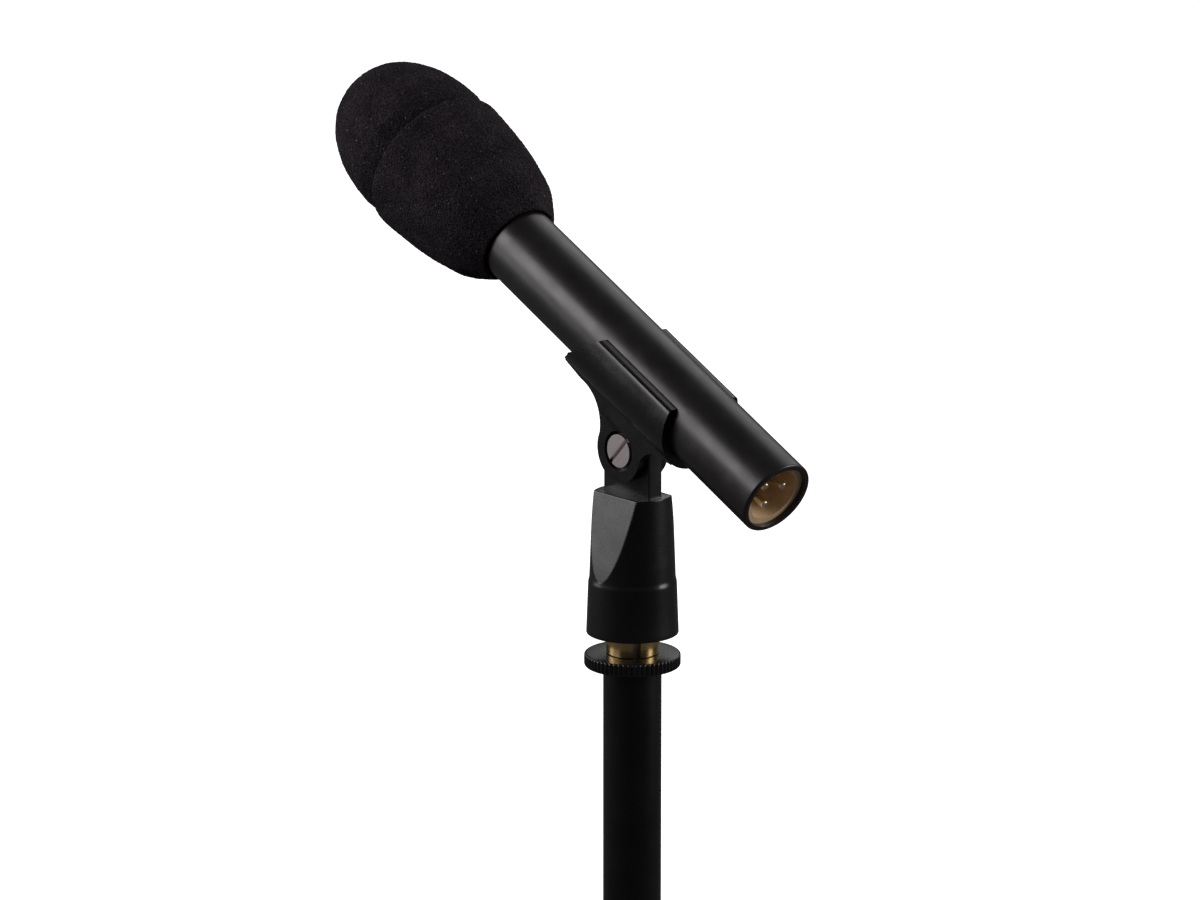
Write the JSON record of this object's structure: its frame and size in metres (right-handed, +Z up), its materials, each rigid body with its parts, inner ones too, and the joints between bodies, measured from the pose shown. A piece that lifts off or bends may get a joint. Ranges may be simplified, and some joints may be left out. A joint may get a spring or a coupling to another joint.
{
  "type": "dynamic microphone",
  "caption": "Slim handheld dynamic microphone with a foam windscreen, held in a tilting cradle clip with a threaded swivel base on a short stand rod.",
  "frame": {"origin": "centre of the threaded socket's mouth in the foot of the stand rod", "axes": "+Z up along the stand rod; the microphone's head points towards -X and upwards; +Y is the far side of the clip, where the nut is"},
  "size_m": [0.1996, 0.049, 0.2671],
  "materials": {
    "rod_black": "satin black powder coat",
    "zinc_steel": "zinc plated",
    "ring_black": "gloss black",
    "adapter_brass": "machined brass",
    "clip_plastic": "satin black moulded plastic",
    "screw_black": "black zinc plated",
    "body_black": "satin black anodised",
    "shell_gold": "gold passivated",
    "insulator_brown": "moulded resin",
    "pin_silver": "silver plated",
    "lead_red": "insulated wire",
    "carrier_plastic": "moulded plastic",
    "core_iron": "varnished laminations",
    "winding_copper": "enamelled copper wire",
    "grille_black": "satin black",
    "mesh_steel": "woven wire",
    "foam_grey": "open cell foam",
    "shock_rubber": "soft rubber",
    "capsule_plastic": "moulded plastic",
    "felt_white": "pressed felt",
    "magnet_grey": "ground",
    "diaphragm_film": "clear polyester film",
    "foam_black": "open cell foam"
  },
  "bodies": {
    "stand_rod": {"rod_tube": "rod_black", "rod_foot_socket": "zinc_steel", "rod_top_stud": "zinc_steel", "thread_adapter": "adapter_brass"},
    "lock_ring": {"locking_ring": "ring_black"},
    "swivel": {"swivel_base": "clip_plastic"},
    "cradle": {"clip_cradle": "clip_plastic", "pivot_nut": "zinc_steel"},
    "clamp_screw": {"pivot_screw": "screw_black"},
    "microphone": {"body_tube": "body_black", "connector_shell": "shell_gold", "connector_grub_screw": "screw_black", "xlr_insulator": "insulator_brown", "xlr_pins": "pin_silver", "ground_lug": "pin_silver", "connector_leads": "lead_red", "transformer_carrier": "carrier_plastic", "transformer_core": "core_iron", "transformer_winding": "winding_copper", "capsule_leads": "lead_red", "grille_frame": "grille_black", "grille_mesh": "mesh_steel", "pop_disc": "foam_grey", "front_shock_ring": "shock_rubber", "rear_shock_ring": "shock_rubber", "capsule_housing": "capsule_plastic", "felt_damper": "felt_white", "yoke_cup": "zinc_steel", "magnet": "magnet_grey", "pole_plate": "zinc_steel", "chassis_ring": "capsule_plastic", "resonator_plate": "capsule_plastic", "clamp_ring": "adapter_brass"},
    "moving_coil": {"diaphragm": "diaphragm_film", "voice_coil": "winding_copper"},
    "windscreen": {"foam_windscreen": "foam_black"}
  },
  "joints": [
    {"name": "ring_turn", "type": "hinge", "parent": "stand_rod", "child": "lock_ring", "pos_m": [0, 0, 0.09605], "axis": [0, 0, 1], "continuous": true},
    {"name": "clip_swivel", "type": "hinge", "parent": "stand_rod", "child": "swivel", "pos_m": [0, 0, 0.10645], "axis": [0, 0, 1], "continuous": true},
    {"name": "clip_tilt", "type": "hinge", "parent": "swivel", "child": "cradle", "pos_m": [0, 0, 0.16368], "axis": [0, 1, 0], "range_deg": [-96, 44]},
    {"name": "screw_turn", "type": "hinge", "parent": "cradle", "child": "clamp_screw", "pos_m": [0, 0, 0.16368], "axis": [0, 1, 0], "continuous": true},
    {"name": "mic_slide", "type": "slide", "parent": "cradle", "child": "microphone", "axis": [-0.8965, 0, 0.4431], "range_m": [-0.03, 0.03]},
    {"name": "windscreen_pull", "type": "slide", "parent": "microphone", "child": "windscreen", "axis": [-0.8965, 0, 0.4431], "range_m": [0, 0.07]},
    {"name": "diaphragm_travel", "type": "slide", "parent": "microphone", "child": "moving_coil", "axis": [-0.8965, 0, 0.4431], "range_m": [-0.0003, 0.0003], "stiffness_N_per_m": 400}
  ]
}
